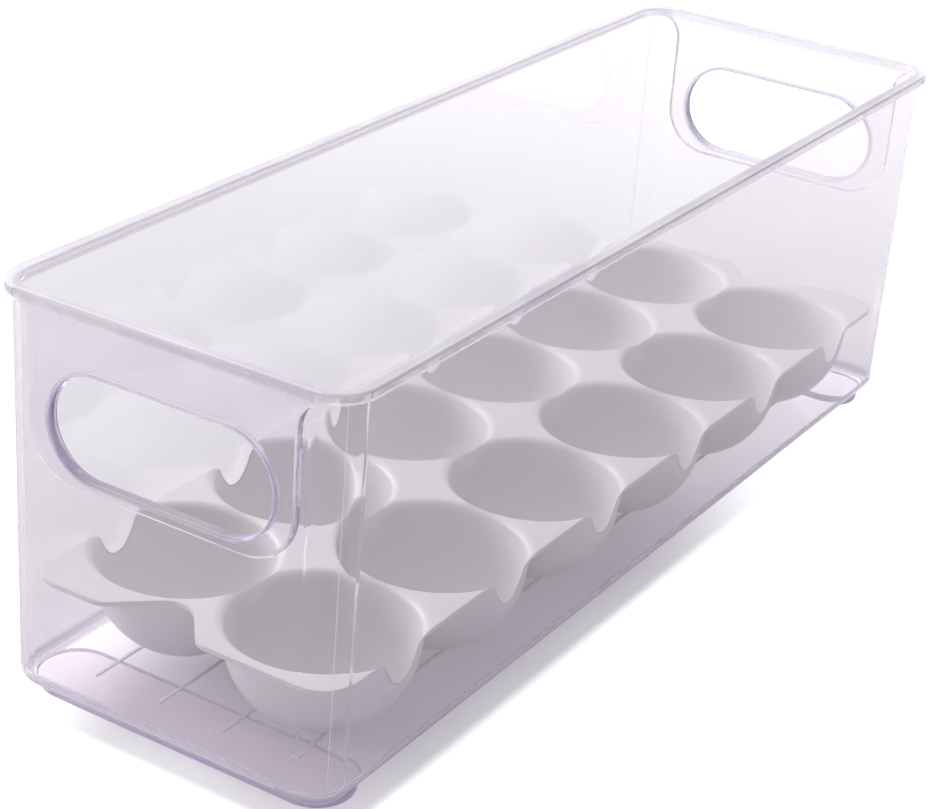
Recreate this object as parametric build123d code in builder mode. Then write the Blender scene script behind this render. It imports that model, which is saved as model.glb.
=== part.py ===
from build123d import *
from math import radians, sqrt, tan
import os

os.makedirs("parts", exist_ok=True)

# An egg keeper for a refrigerator shelf: an open, clear, moulded bin with a hand hole in each end,
# and a loose white tray on its floor that holds two rows of eggs.
# X runs across the bin, Y along it, and Z up from the shelf. The origin is under the bin's middle.

# Bin: the rim is its widest part, and the walls lean in a little towards the floor
rim_width = 102.0
rim_length = 317.0
bin_height = 110.0
rim_corner_radius = 11.3
rim_overhang = 1.8
rim_height = 2.5
rim_edge_radius = 0.6
rim_inner_edge_radius = 0.5
wall_thickness = 1.8
wall_draft = 0.5
floor_thickness = 2.2
bottom_edge_radius = 4.2
floor_fillet_radius = 2.4

# Handle panels: each end wall is thickened outwards, almost to the rim's edge, around the hand hole
handle_width = 64.0
handle_height = 26.8
handle_edge_radius = 0.8
panel_bottom = 64.2
panel_lower_margin = 3.0
panel_side_margin = 6.3
panel_corner_radius = 14.0
panel_flare_radius = 7.0
panel_setback = 0.3
panel_edge_radius = 0.9

# Feet: one round-ended bar under each end
foot_height = 2.4
foot_width = 20.0
foot_end_inset = 3.6
foot_side_inset = 2.0
foot_edge_radius = 0.5

# Floor ribs: low lines that run along the floor
rib_count = 4
rib_pitch = 19.7
rib_width = 0.8
rib_height = 0.4
rib_end_distance = 15.5

# Egg tray: a thin deck with hanging cups that stand on the bin's floor
cups_per_row = 6
cup_pitch = 48.0
row_spacing = 46.0
row_stagger = 6.4
cup_depth = 27.2
cup_bowl_radius = 23.3
cup_side_lean = 8.0
cup_seat_radius = 3.0
cup_wall = 0.8
cup_lip_radius = 2.4
deck_thickness = 1.2
tray_side_gap = 1.7
tray_end_gap = 3.7
tray_corner_radius = 8.3

# Finger notch in each end of the tray, in the room that the staggered rows leave.
# Its near flank runs beside the cup that stands further from the end, its far flank is steeper.
notch_floor_start = 9.4
notch_floor_width = 6.2
notch_depth = 12.1
notch_near_flank_run = 13.0
notch_far_flank_run = 10.0
notch_corner_radius = 6.0

floor_top = foot_height + floor_thickness
deck_top = floor_top + cup_depth
handle_height_centre = panel_bottom + panel_lower_margin + handle_height / 2


def lean_in(height):
    """How far the draft has moved a wall in from its place at the rim, at this height."""
    return (bin_height - height) * tan(radians(wall_draft))


def wall_rectangle(height, inset):
    """The bin's section at this height, this far in from the outer face of its walls."""
    step = rim_overhang + lean_in(height) + inset
    RectangleRounded(rim_width - 2 * step, rim_length - 2 * step, rim_corner_radius - step)


# Both handle panels as one long bar with the panel's outline, which flares out under the rim and
# ends inside it. The bar's middle lies where the bin is solid or is hollowed out later.
panel_half_width = handle_width / 2 + panel_side_margin
rim_underside = bin_height - rim_height
panel_top = rim_underside + rim_height / 2

with BuildPart() as handle_panels:
    with BuildSketch(Plane.XZ):
        with BuildLine():
            lower_edge = Line(
                (0, panel_bottom), (panel_half_width - panel_corner_radius, panel_bottom)
            )
            corner = TangentArc(
                lower_edge @ 1,
                (panel_half_width, panel_bottom + panel_corner_radius),
                tangent=lower_edge % 1,
            )
            side = Line(corner @ 1, (panel_half_width, rim_underside - panel_flare_radius))
            flare = TangentArc(
                side @ 1, (panel_half_width + panel_flare_radius, rim_underside), tangent=side % 1
            )
            Polyline(flare @ 1, (rim_width / 2, rim_underside), (rim_width / 2, panel_top), (0, panel_top))
            mirror(about=Plane.YZ)
        make_face()
    extrude(amount=rim_length / 2 - panel_setback, both=True)
    end_edges = handle_panels.faces().filter_by(Axis.Y).edges()
    fillet(
        end_edges.filter_by(lambda edge: edge.center().Z < (rim_underside + panel_top) / 2),
        panel_edge_radius,
    )
    with BuildSketch(Plane.XY.offset(panel_bottom)):
        RectangleRounded(
            rim_width - 2 * panel_setback,
            rim_length - 2 * panel_setback,
            rim_corner_radius - panel_setback,
        )
    extrude(amount=panel_top - panel_bottom, mode=Mode.INTERSECT)

with BuildPart() as bin_shell:
    # Outer body: it widens upwards by the draft, with rounded bottom edges
    with BuildSketch(Plane.XY.offset(foot_height)):
        wall_rectangle(foot_height, 0)
    extrude(amount=bin_height - foot_height, taper=-wall_draft)
    fillet(bin_shell.edges().group_by(Axis.Z)[0], bottom_edge_radius)

    # Rim: a flange all round the top
    with BuildSketch(Plane.XY.offset(rim_underside)):
        RectangleRounded(rim_width, rim_length, rim_corner_radius)
    extrude(amount=rim_height)
    fillet(bin_shell.faces().sort_by(Axis.Z)[-1].outer_wire().edges(), rim_edge_radius)

    add(handle_panels.part)

    # Feet, rooted in the floor
    foot_length = rim_width - 2 * (rim_overhang + lean_in(foot_height) + foot_side_inset)
    foot_distance = rim_length - 2 * (rim_overhang + lean_in(foot_height) + foot_end_inset) - foot_width
    with BuildSketch():
        with GridLocations(1, foot_distance, 1, 2):
            SlotOverall(foot_length, foot_width)
    extrude(amount=foot_height + floor_thickness / 2)
    fillet(bin_shell.edges().group_by(Axis.Z)[0], foot_edge_radius)

    # Inside: the same draft, one wall thickness in
    with BuildSketch(Plane.XY.offset(floor_top)):
        wall_rectangle(floor_top, wall_thickness)
    extrude(amount=bin_height - floor_top, taper=-wall_draft, mode=Mode.SUBTRACT)
    floor_face = bin_shell.faces().filter_by(Axis.Z).filter_by_position(
        Axis.Z, floor_top - rib_height, floor_top + rib_height
    )
    fillet(floor_face.edges(), floor_fillet_radius)
    rim_face = bin_shell.faces().sort_by(Axis.Z)[-1]
    fillet(rim_face.inner_wires()[0].edges(), rim_inner_edge_radius)

    # Hand holes through both end walls
    with BuildSketch(Plane.XZ):
        with Locations((0, handle_height_centre)):
            SlotOverall(handle_width, handle_height)
    extrude(amount=rim_length, both=True, mode=Mode.SUBTRACT)
    holed_faces = bin_shell.faces().filter_by(
        lambda face: face.inner_wires() and abs(face.normal_at().Y) > 0.9
    )
    fillet([edge for face in holed_faces for edge in face.inner_wires()[0].edges()], handle_edge_radius)

    # Floor ribs
    rib_length = rim_length - 2 * rib_end_distance
    with BuildSketch(Plane.XY.offset(floor_top)):
        with GridLocations(rib_pitch, 1, rib_count, 1):
            SlotOverall(rib_length, rib_width, rotation=90)
    extrude(amount=rib_height)

bin_shell.part.label = "bin"
export_step(bin_shell.part, "parts/bin.step")

# The tray stands inside the bin with room all round
tray_width = rim_width - 2 * (rim_overhang + lean_in(deck_top) + wall_thickness + tray_side_gap)
tray_length = rim_length - 2 * (rim_overhang + lean_in(deck_top) + wall_thickness + tray_end_gap)

# One egg cup hangs from the deck. Its round bottom is cut flat where it stands on the floor.
bowl_centre = floor_top + sqrt(cup_bowl_radius**2 - cup_seat_radius**2)


def cup_section(inset):
    """Half the cup's section, this far in from its outer face: a round bottom and a leaning side."""
    bottom = CenterArc((0, bowl_centre), cup_bowl_radius - inset, -90, 90 - cup_side_lean)
    side = PolarLine(
        bottom @ 1,
        deck_top - (bottom @ 1).Y,
        angle=90 - cup_side_lean,
        length_mode=LengthMode.VERTICAL,
    )
    return bottom @ 0, side @ 1


with BuildPart() as cup_body:
    with BuildSketch(Plane.XZ):
        with BuildLine():
            lowest, mouth = cup_section(0)
            Polyline(mouth, (0, deck_top), lowest)
        make_face()
    revolve(axis=Axis.Z)

# The hollow opens out at the deck in a rounded lip
with BuildPart() as cup_hollow:
    with BuildSketch(Plane.XZ) as hollow_profile:
        with BuildLine():
            lowest, mouth = cup_section(cup_wall)
            reach = mouth.X + 2 * cup_lip_radius
            Polyline(
                mouth,
                (reach, deck_top),
                (reach, deck_top + deck_thickness),
                (0, deck_top + deck_thickness),
                lowest,
            )
        make_face()
        fillet(hollow_profile.vertices().sort_by_distance(mouth)[0], cup_lip_radius)
    revolve(axis=Axis.Z)

# The rows are staggered: the row at -X stands half the stagger towards +Y, the other towards -Y
row_start = -(cups_per_row - 1) * cup_pitch / 2
cup_places = [
    (side * row_spacing / 2, row_start + place * cup_pitch - side * row_stagger / 2)
    for side in (-1, 1)
    for place in range(cups_per_row)
]

# The tray's outline, which looks the same after half a turn
half_width = tray_width / 2
half_length = tray_length / 2
notch_floor_end = notch_floor_start - notch_floor_width
near_end = [
    (-half_width, -half_length),
    (-notch_floor_start - notch_near_flank_run, -half_length),
    (-notch_floor_start, -half_length + notch_depth),
    (-notch_floor_end, -half_length + notch_depth),
    (-notch_floor_end + notch_far_flank_run, -half_length),
    (half_width, -half_length),
]
far_end = [(-x, -y) for x, y in near_end]
end_radii = [tray_corner_radius] + 4 * [notch_corner_radius] + [tray_corner_radius]

with BuildPart() as egg_tray:
    with Locations(*cup_places):
        add(cup_body.part)
    with BuildSketch(Plane.XY.offset(floor_top)) as tray_outline:
        with BuildLine():
            FilletPolyline(*near_end, *far_end, radius=2 * end_radii, close=True)
        make_face()
    extrude(amount=cup_depth, mode=Mode.INTERSECT)
    with BuildSketch(Plane.XY.offset(deck_top - deck_thickness)):
        add(tray_outline.sketch_local)
    extrude(amount=deck_thickness)
    with Locations(*cup_places):
        add(cup_hollow.part, mode=Mode.SUBTRACT)

egg_tray.part.label = "egg_tray"
export_step(egg_tray.part, "parts/egg_tray.step")
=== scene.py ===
import bpy
import numpy as np
from mathutils import Matrix


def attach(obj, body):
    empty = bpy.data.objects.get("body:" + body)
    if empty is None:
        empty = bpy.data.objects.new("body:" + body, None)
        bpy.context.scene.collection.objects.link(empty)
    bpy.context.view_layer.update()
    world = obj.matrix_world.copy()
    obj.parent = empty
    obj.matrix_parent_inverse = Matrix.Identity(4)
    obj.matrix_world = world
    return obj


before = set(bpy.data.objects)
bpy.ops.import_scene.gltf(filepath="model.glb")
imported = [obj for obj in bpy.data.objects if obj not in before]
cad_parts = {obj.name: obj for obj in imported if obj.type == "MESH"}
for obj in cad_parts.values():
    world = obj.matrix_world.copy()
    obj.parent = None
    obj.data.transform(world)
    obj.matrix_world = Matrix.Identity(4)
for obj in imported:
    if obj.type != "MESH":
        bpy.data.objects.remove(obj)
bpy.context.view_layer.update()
print("frame loaded:", ", ".join(sorted(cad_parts)))

# camera

view = dict(
    place=(0.30229, -0.53253, 0.32643),
    right=(0.8392, 0.5395, 0.0692),
    up=(-0.2856, 0.3287, 0.9003),
    back=(0.4629, -0.7752, 0.4299),
    lens=92.98,
    sensor=36.0,
    clip=(0.01, 50.0),
)


def addCamera(settings):
    cameraData = bpy.data.cameras.new("viewCamera")
    cameraData.lens = settings["lens"]
    cameraData.sensor_width = settings["sensor"]
    cameraData.clip_start, cameraData.clip_end = settings["clip"]
    camera = bpy.data.objects.new("viewCamera", cameraData)
    bpy.context.scene.collection.objects.link(camera)
    turn = Matrix((settings["right"], settings["up"], settings["back"])).transposed()
    camera.matrix_world = Matrix.Translation(settings["place"]) @ turn.to_4x4()
    bpy.context.scene.camera = camera


addCamera(view)
print("camera placed")


# shader maths: a value wraps a socket, and an expression on values adds its Math nodes
class Value:
    def __init__(self, graph, socket):
        self.graph = graph
        self.socket = socket

    def join(self, operation, first, second):
        return self.graph.node("ShaderNodeMath", {"operation": operation}, {0: first, 1: second})

    def __add__(self, other):
        return self.join("ADD", self, other)

    __radd__ = __add__

    def __sub__(self, other):
        return self.join("SUBTRACT", self, other)

    def __rsub__(self, other):
        return self.join("SUBTRACT", other, self)

    def __mul__(self, other):
        return self.join("MULTIPLY", self, other)

    __rmul__ = __mul__

    def most(self, other):
        return self.join("MAXIMUM", self, other)

    def size(self):
        return self.join("ABSOLUTE", self, 0.0)

    def root(self):
        return self.join("SQRT", self, 0.0)


# a node tree: a new material's, or one that is given
class Graph:
    def __init__(self, name=None, tree=None):
        self.material = None
        if tree is None:
            self.material = bpy.data.materials.new(name)
            self.material.use_nodes = True
            tree = self.material.node_tree
        self.tree = tree
        tree.nodes.clear()

    def node(self, kind, settings=None, inputs=None, output=0):
        made = self.tree.nodes.new(kind)
        for key, value in (settings or {}).items():
            if key == "stops":
                elements = made.color_ramp.elements
                while len(elements) < len(value):
                    elements.new(1.0)
                for element, (place, colour) in zip(elements, value):
                    element.position = place
                    element.color = (*colour, 1.0)
            else:
                setattr(made, key, value)
        for key, value in (inputs or {}).items():
            if isinstance(value, Value):
                self.tree.links.new(value.socket, made.inputs[key])
            else:
                made.inputs[key].default_value = value
        return Value(self, made.outputs[output]) if len(made.outputs) else None

    def finish(self, surface, kind="ShaderNodeOutputMaterial", volume=None):
        ends = {"Surface": surface}
        if volume:
            ends["Volume"] = volume
        self.node(kind, None, ends)
        return self.material


# noise on the piece's own coordinates: waves per metre, detail, and how much more on each axis
def noise(graph, scale, detail, stretch=(1, 1, 1)):
    coordinates = graph.node("ShaderNodeTexCoord", output="Object")
    placed = graph.node("ShaderNodeMapping", None, {"Vector": coordinates, "Scale": stretch})
    return graph.node(
        "ShaderNodeTexNoise", None, {"Vector": placed, "Scale": scale, "Detail": detail}
    )


# goes smoothly from 0 to 1 as the value goes from one limit to the other, which may be the lower
def fade(graph, value, start, end):
    return graph.node(
        "ShaderNodeMapRange",
        {"interpolation_type": "SMOOTHSTEP"},
        {"Value": value, "From Min": start, "From Max": end},
    )


# colours that follow a value, each at its own stop
def ramp(graph, value, stops, colours):
    return graph.node("ShaderNodeValToRGB", {"stops": list(zip(stops, colours))}, {0: value})


# the piece's own X, Y and Z
def places(graph):
    coordinates = graph.node("ShaderNodeTexCoord", output="Object")
    return [
        graph.node("ShaderNodeSeparateXYZ", None, {0: coordinates}, output=axis) for axis in "XYZ"
    ]


# clear moulded plastic: faint lavender, with slow waves from the mould. Narrow places and edges get
# a milky diffuse layer, partly the plastic's own haze and partly painted light that stands in for
# the light that runs inside the plastic and comes out there; the rim's top and the floor's ribs get
# a painted highlight, and the foot's lowest edge and the hand holes' ends a painted violet of the
# light seen through them. Each pair from rimFrom on is where a mask starts and where it is full, in
# metres.

clearPlastic = dict(
    tint=(0.965, 0.958, 0.966, 1.0),
    depthTint=(0.46, 0.21, 0.52, 1.0),
    depthDensity=28.0,
    shadowTint=(0.985, 0.98, 0.985, 1.0),
    milkPale=(0.93, 0.91, 0.945),
    milkDeep=(0.82, 0.79, 0.86),
    footTint=(0.92, 0.89, 0.97, 1.0),
    # painted violet of the light seen through the foot's lowest edge
    footDeepPaintedTint=(0.72, 0.68, 0.90, 1.0),
    # painted violet of what the hand holes' round ends refract
    holeEndPaintedTint=(0.62, 0.58, 0.84, 1.0),
    ior=1.52,
    hazeNoise=(60.0, 3.0),
    roughLow=0.010,
    roughSpan=0.03,
    waveNoise=(22.0, 1.0, (1, 0.5, 1)),
    waveHeight=0.00006,
    streakNoise=(60.0, 2.0, (0.5, 0.5, 6)),
    streakBase=0.5,
    milkStops=(0.35, 0.65),
    wallMilk=0.035,
    edgeMilk=0.20,
    # painted highlight on the rim's top
    rimTopHighlight=0.42,
    panelMilk=0.16,
    holeMilk=0.15,
    footMilk=0.30,
    # share of that painted violet at the foot's lowest edge
    footDeepPaintedShare=0.08,
    # painted highlight on the bin floor's ribs
    ribHighlight=0.75,
    edgeLeak=0.22,
    rimFrom=(0.1068, 0.1078),
    rimTopFrom=(0.1093, 0.1098),
    footTo=(0.0078, 0.0058),
    footDeepTo=(0.0034, 0.0014),
    flatHeights=(0.0, 0.0024, 0.0046, 0.0050),
    flatReach=(0.00004, 0.00012),
    panelInner=(0.1569, 0.1572),
    panelOuter=(0.1582, 0.1579),
    panelFloor=(0.0630, 0.0642),
    holeHeight=0.0806,
    holeStraight=0.0186,
    holeRadius=(0.0146, 0.0140),
    holeWall=(0.150, 0.152),
    holeEndFrom=(0.014, 0.030),
    ribBottom=(0.00475, 0.00485),
    ribTop=(0.0056, 0.0052),
    ribReach=(0.0345, 0.0335),
)


def makeClearPlastic(s):
    g = Graph("clearPlastic")
    haze = noise(g, *s["hazeNoise"])
    wave = noise(g, *s["waveNoise"])
    streak = noise(g, *s["streakNoise"])
    bump = g.node(
        "ShaderNodeBump", None, {"Strength": 1.0, "Distance": s["waveHeight"], "Height": wave}
    )
    # the milky places, each a mask of 0 to 1; the bin is the same on both sides of its middle
    x, y, z = places(g)
    outX, outY = x.size(), y.size()
    rim = fade(g, z, *s["rimFrom"])
    # the rim's top, which gets a painted highlight
    rimTop = fade(g, z, *s["rimTopFrom"])
    # the foot and the walls' lowest part, without the flat faces of feet, floor and ribs
    foot = fade(g, z, *s["footTo"])
    for height in s["flatHeights"]:
        foot = foot * fade(g, (z - height).size(), *s["flatReach"])
    # the foot's lowest edge, which gets a painted violet of the light seen through it
    footDeep = foot * fade(g, z, *s["footDeepTo"])
    # the handle panels' narrow sides
    panel = (
        fade(g, outY, *s["panelInner"])
        * fade(g, outY, *s["panelOuter"])
        * fade(g, z, *s["panelFloor"])
    )
    # the bands inside the hand holes, by the distance from the line that joins their ends' middles
    across = (outX - s["holeStraight"]).most(0.0)
    upward = z - s["holeHeight"]
    fromHole = (across * across + upward * upward).root()
    hole = fade(g, fromHole, *s["holeRadius"]) * fade(g, outY, *s["holeWall"])
    # the hand holes' round ends, which get a painted violet of what they refract
    holeEnd = hole * fade(g, outX, *s["holeEndFrom"])
    # the floor's ribs, which get a painted highlight
    rib = fade(g, z, *s["ribBottom"]) * fade(g, z, *s["ribTop"]) * fade(g, outX, *s["ribReach"])
    edges = rim.most(foot).most(panel).most(hole).most(rib)
    glass = g.node("ShaderNodeBsdfPrincipled", None, {
        "Base Color": s["tint"],
        "Roughness": haze * s["roughSpan"] + s["roughLow"],
        "IOR": s["ior"],
        "Transmission Weight": 1.0,
        "Alpha": 1.0 - edges * s["edgeLeak"],
        "Normal": bump,
    })
    # the milky share: a faint haze everywhere, and at edges, panel sides, hole bands and foot
    # partly painted light for the light coming out of the plastic, plus painted highlights on the
    # rim's top and ribs
    milk = (
        edges * (streak + s["streakBase"]) * s["edgeMilk"]
        + rimTop * s["rimTopHighlight"]
        + panel * s["panelMilk"]
        + hole * s["holeMilk"]
        + foot * s["footMilk"]
        + footDeep * s["footDeepPaintedShare"]
        + rib * s["ribHighlight"]
        + s["wallMilk"]
    )
    milkColour = ramp(g, streak, s["milkStops"], (s["milkDeep"], s["milkPale"]))
    # a pale tint for the foot's milk, and painted violet at the foot's lowest edge and the hand
    # holes' ends
    for mask, tint in ((foot, "footTint"), (footDeep, "footDeepPaintedTint"), (holeEnd, "holeEndPaintedTint")):
        milkColour = g.node(
            "ShaderNodeMix", {"data_type": "RGBA"}, {0: mask, 6: milkColour, 7: s[tint]}, output=2
        )
    milky = g.node("ShaderNodeBsdfDiffuse", None, {"Color": milkColour})
    body = g.node("ShaderNodeMixShader", None, {0: milk, 1: glass, 2: milky})

    # light reaches what is inside or behind as if the plastic were thin
    letsLight = g.node("ShaderNodeBsdfTransparent", None, {"Color": s["shadowTint"]})
    diffuseRay = g.node("ShaderNodeLightPath", output="Is Diffuse Ray")
    shadowRay = g.node("ShaderNodeLightPath", output="Is Shadow Ray")
    indirect = g.node("ShaderNodeMixShader", None, {0: diffuseRay, 1: body, 2: letsLight})
    surface = g.node("ShaderNodeMixShader", None, {0: shadowRay, 1: indirect, 2: letsLight})
    depth = g.node(
        "ShaderNodeVolumeAbsorption", None, {"Color": s["depthTint"], "Density": s["depthDensity"]}
    )
    return g.finish(surface, volume=depth)


# white moulded plastic, thin enough to glow a little, with soft edges and a fine grain

whitePlastic = dict(
    colour=(0.84, 0.83, 0.84),
    shade=(0.81, 0.795, 0.805),
    glow=(0.80, 0.78, 0.79, 1.0),
    glowShare=0.22,
    ior=1.49,
    cloudNoise=(35.0, 3.0),
    cloudStops=(0.3, 0.7),
    grainNoise=(700.0, 2.0),
    grainStrength=0.2,
    grainHeight=0.00003,
    edgeRadius=0.0004,
    edgeSamples=4,
    roughLow=0.30,
    roughSpan=0.16,
)


def makeWhitePlastic(s):
    g = Graph("whitePlastic")
    cloud = noise(g, *s["cloudNoise"])
    grain = noise(g, *s["grainNoise"])
    softEdge = g.node(
        "ShaderNodeBevel", {"samples": s["edgeSamples"]}, {"Radius": s["edgeRadius"]}
    )
    colour = ramp(g, cloud, s["cloudStops"], (s["shade"], s["colour"]))
    bump = g.node("ShaderNodeBump", None, {
        "Strength": s["grainStrength"],
        "Distance": s["grainHeight"],
        "Height": grain,
        "Normal": softEdge,
    })
    skin = g.node("ShaderNodeBsdfPrincipled", None, {
        "Base Color": colour,
        "Roughness": cloud * s["roughSpan"] + s["roughLow"],
        "IOR": s["ior"],
        "Normal": bump,
    })
    glow = g.node("ShaderNodeBsdfTranslucent", None, {"Color": s["glow"]})
    return g.finish(g.node("ShaderNodeMixShader", None, {0: s["glowShare"], 1: skin, 2: glow}))


def dress(node, material):
    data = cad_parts[node].data
    data.materials.clear()
    data.materials.append(material)


dress("bin", makeClearPlastic(clearPlastic))
dress("egg_tray", makeWhitePlastic(whitePlastic))
print("plastics assigned")

# mould seams: a hair-thin raised line runs down two opposite corners of the bin

seam = dict(
    cornerHalf=(0.0492, 0.1567),
    cornerRadius=0.0095,
    topHeight=0.110,
    draft=0.0087269,
    heights=(0.0085, 0.1066),
    turn=0.646,
    radius=0.00009,
    rings=60,
    sides=8,
    colour=(0.95, 0.93, 0.97, 1.0),
    patchNoise=(45.0, 2.0),
    roughLow=0.2,
    roughSpan=0.2,
    alphaLow=0.15,
    alphaSpan=0.8,
)


# a ring is carried up the corner's outer face: with A and B the walls' half sizes and R the
# corner's radius, all three less by the draft below the top, the ring's middle at the height z is
# (A - R + R cos t, B - R + R sin t), where t is the turn; sign says which corner, and a point
# closes each end
def seamSurface(s, sign):
    z = np.linspace(*s["heights"], s["rings"])
    lean = (s["topHeight"] - z) * s["draft"]
    radius = s["cornerRadius"] - lean
    halfX, halfY = [half - lean for half in s["cornerHalf"]]
    middleX = sign * (halfX - radius + radius * np.cos(s["turn"]))
    middleY = -sign * (halfY - radius + radius * np.sin(s["turn"]))
    angle = np.linspace(0, 2 * np.pi, s["sides"], endpoint=False)
    x = middleX[:, None] + s["radius"] * np.cos(angle)
    y = middleY[:, None] + s["radius"] * np.sin(angle)
    rings = np.stack([x, y, np.broadcast_to(z[:, None], x.shape)], -1).reshape(-1, 3)
    tips = np.array([[middleX[0], middleY[0], z[0]], [middleX[-1], middleY[-1], z[-1]]])
    across = np.arange(s["sides"])
    following = (across + 1) % s["sides"]
    start = np.arange(s["rings"] - 1)[:, None] * s["sides"]
    quads = np.stack([
        start + across,
        start + following,
        start + following + s["sides"],
        start + across + s["sides"],
    ], -1).reshape(-1, 4)
    count = len(rings)
    top = count - s["sides"]
    bottomCap = np.stack([np.full(s["sides"], count), following, across], -1)
    topCap = np.stack([np.full(s["sides"], count + 1), top + across, top + following], -1)
    return np.concatenate([rings, tips]), quads.tolist() + bottomCap.tolist() + topCap.tolist()


def addSeams(s):
    g = Graph("seamPlastic")
    patches = noise(g, *s["patchNoise"])
    skin = g.node("ShaderNodeBsdfPrincipled", None, {
        "Base Color": s["colour"],
        "Roughness": patches * s["roughSpan"] + s["roughLow"],
        "Alpha": patches * s["alphaSpan"] + s["alphaLow"],
    })
    material = g.finish(skin)
    for name, sign in (("frontSeam", 1), ("backSeam", -1)):
        points, faces = seamSurface(s, sign)
        mesh = bpy.data.meshes.new(name)
        mesh.from_pydata(points.tolist(), [], faces)
        mesh.shade_smooth()
        mesh.materials.append(material)
        piece = bpy.data.objects.new(name, mesh)
        bpy.context.scene.collection.objects.link(piece)
        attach(piece, "bin")


addSeams(seam)
print("mould seams added")

# studio

studio = dict(
    floorSize=6.0,
    floorSteps=9,
    floorDrop=0.0003,
    floorColour=(0.74, 0.74, 0.75, 1.0),
    openLift=0.26,
    awayLift=0.45,
    awayReach=(0.15, 0.6),
    farLift=0.38,
    farReach=(0.05, 0.55),
    # painted light on the floor under the bin, stronger towards the far end and along the left side
    underLift=0.205,
    underFarLift=0.75,
    underFarReach=(-0.005, 0.115),
    underLeftLift=0.48,
    underLeftReach=(-0.012, -0.046),
    # painted light that pales the object's shadow near it
    shadowLift=0.38,
    footprint=(0.0505, 0.158),
    liftReach=(0.0, 0.004),
    shadowReach=(0.16, 0.01),
    frontWay=(0.92, -0.38, -0.05),
    worldStops=(0.12, 0.45, 0.88),
    worldColours=((1.04, 1.04, 1.05), (0.69, 0.68, 0.70), (0.45, 0.43, 0.48)),
    clearStops=(0.35, 0.85),
    clearColours=((1.0, 1.0, 1.0), (0.80, 0.79, 0.82)),
    white=(1.0, 1.0, 1.0, 1.0),
    lamps=[
        dict(
            name="topSoftbox",
            place=(-0.45, 0.3, 1.15),
            aim=(0, 0, 0),
            size=(0.9, 0.9),
            power=2.5,
        ),
        dict(
            name="leftSoftbox",
            place=(-0.95, -0.2, 0.30),
            aim=(0, -0.12, 0),
            size=(0.8, 0.3),
            power=7.0,
        ),
        dict(
            name="farSoftbox",
            place=(0.15, 1.3, 0.5),
            aim=(0, 0.1, 0),
            size=(1.0, 0.6),
            power=2.8,
        ),
        dict(
            name="backStrip",
            place=(-0.40, 0.45, 1.05),
            aim=(0, 0, 0.05),
            size=(1.0, 0.10),
            power=1.2,
        ),
    ],
)


# 1 for what the camera sees, also in gloss and through clear plastic
def seenDirectly(graph):
    camera, glossy, through = [
        graph.node("ShaderNodeLightPath", output=name)
        for name in ("Is Camera Ray", "Is Glossy Ray", "Is Transmission Ray")
    ]
    return camera.most(glossy).most(through)


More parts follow.
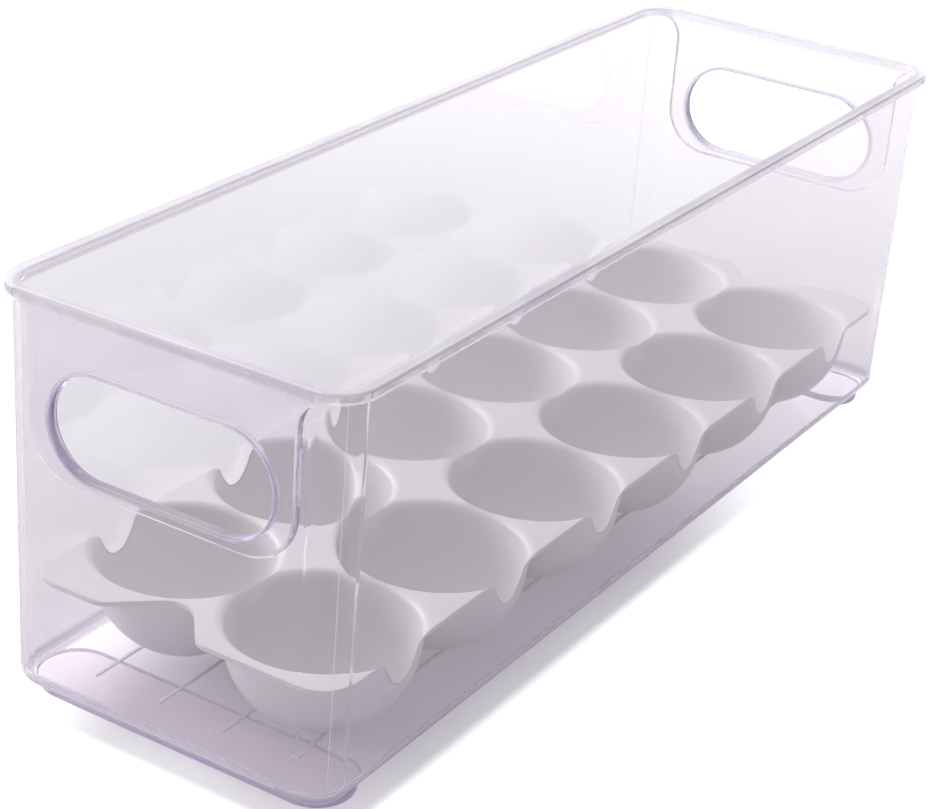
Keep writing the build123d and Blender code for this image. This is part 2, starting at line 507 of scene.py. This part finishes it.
# a flat grid: the point (i, j) stands at the i-th and j-th of even steps over the floor's size.
# A lift that only the camera sees turns the floor white away from the object, and nearer the object
# it is painted light that pales the object's shadow; a lift that shows in clear plastic too
# brightens the floor far behind, and under the bin it is painted light, stronger towards the far
# end and along the left side.
def addFloor(s):
    half = s["floorSize"] / 2
    count = s["floorSteps"]
    steps = np.linspace(-half, half, count)
    gridX, gridY = np.meshgrid(steps, steps)
    points = np.stack([gridX, gridY, np.full_like(gridX, -s["floorDrop"])], -1).reshape(-1, 3)
    corner = (np.arange(count - 1)[:, None] * count + np.arange(count - 1)).reshape(-1, 1)
    faces = corner + np.array([[0, 1, count + 1, count]])
    mesh = bpy.data.meshes.new("studioFloor")
    mesh.from_pydata(points.tolist(), [], faces.tolist())
    floor = bpy.data.objects.new("studioFloor", mesh)
    bpy.context.scene.collection.objects.link(floor)
    g = Graph("paleFloor")
    matt = g.node("ShaderNodeBsdfDiffuse", None, {"Color": s["floorColour"]})
    x, y, _ = places(g)
    outX = (x.size() - s["footprint"][0]).most(0.0)
    outY = (y.size() - s["footprint"][1]).most(0.0)
    away = (outX * outX + outY * outY).root()
    outside = fade(g, away, *s["liftReach"])
    # near the object this is painted light that pales its shadow
    openLift = outside * (
        fade(g, away, *s["shadowReach"]) * s["shadowLift"]
        + fade(g, away, *s["awayReach"]) * s["awayLift"]
        + s["openLift"]
    )
    # painted light under the bin's footprint, stronger towards the far end and along the left side
    under = (
        fade(g, y, *s["underFarReach"]) * s["underFarLift"]
        + fade(g, x, *s["underLeftReach"]) * s["underLeftLift"]
        + s["underLift"]
    )
    farLift = fade(g, y, *s["farReach"]) * s["farLift"] + (1.0 - outside) * under
    camera = g.node("ShaderNodeLightPath", output="Is Camera Ray")
    lift = openLift * camera + farLift * seenDirectly(g)
    light = g.node("ShaderNodeEmission", None, {"Color": s["white"], "Strength": lift})
    mesh.materials.append(g.finish(g.node("ShaderNodeAddShader", None, {0: matt, 1: light})))


def addLamp(s):
    data = bpy.data.lights.new(s["name"], "AREA")
    data.shape = "RECTANGLE"
    data.size, data.size_y = s["size"]
    data.energy = s["power"]
    lamp = bpy.data.objects.new(s["name"], data)
    bpy.context.scene.collection.objects.link(lamp)
    away = np.array(s["place"]) - np.array(s["aim"])
    away = away / np.linalg.norm(away)
    side = np.cross((0, 0, 1), away)
    side = side / np.linalg.norm(side)
    turn = Matrix((side, np.cross(away, side), away)).transposed()
    lamp.matrix_world = Matrix.Translation(s["place"]) @ turn.to_4x4()


# soft light from all round, dimmer from the front right, which shows paler in gloss and clear
# plastic; the camera itself sees white
def addWorld(s):
    world = bpy.data.worlds.new("studioWorld")
    world.use_nodes = True
    bpy.context.scene.world = world
    g = Graph(tree=world.node_tree)
    direction = g.node("ShaderNodeTexCoord", output="Generated")
    front = g.node(
        "ShaderNodeVectorMath",
        {"operation": "DOT_PRODUCT"},
        {0: direction, 1: s["frontWay"]},
        output="Value",
    )
    share = front * 0.5 + 0.5  # from 0 at the back to 1 at the front
    colour = ramp(g, share, s["worldStops"], s["worldColours"])
    clearColour = ramp(g, share, s["clearStops"], s["clearColours"])
    light, inClear, white = [
        g.node("ShaderNodeBackground", None, {"Color": paint, "Strength": 1.0})
        for paint in (colour, clearColour, s["white"])
    ]
    seen = g.node("ShaderNodeMixShader", None, {0: seenDirectly(g), 1: light, 2: inClear})
    cameraRay = g.node("ShaderNodeLightPath", output="Is Camera Ray")
    shown = g.node("ShaderNodeMixShader", None, {0: cameraRay, 1: seen, 2: white})
    g.finish(shown, "ShaderNodeOutputWorld")


addFloor(studio)
for lamp in studio["lamps"]:
    addLamp(lamp)
addWorld(studio)
bpy.context.scene.view_settings.view_transform = "Standard"
print("studio ready")
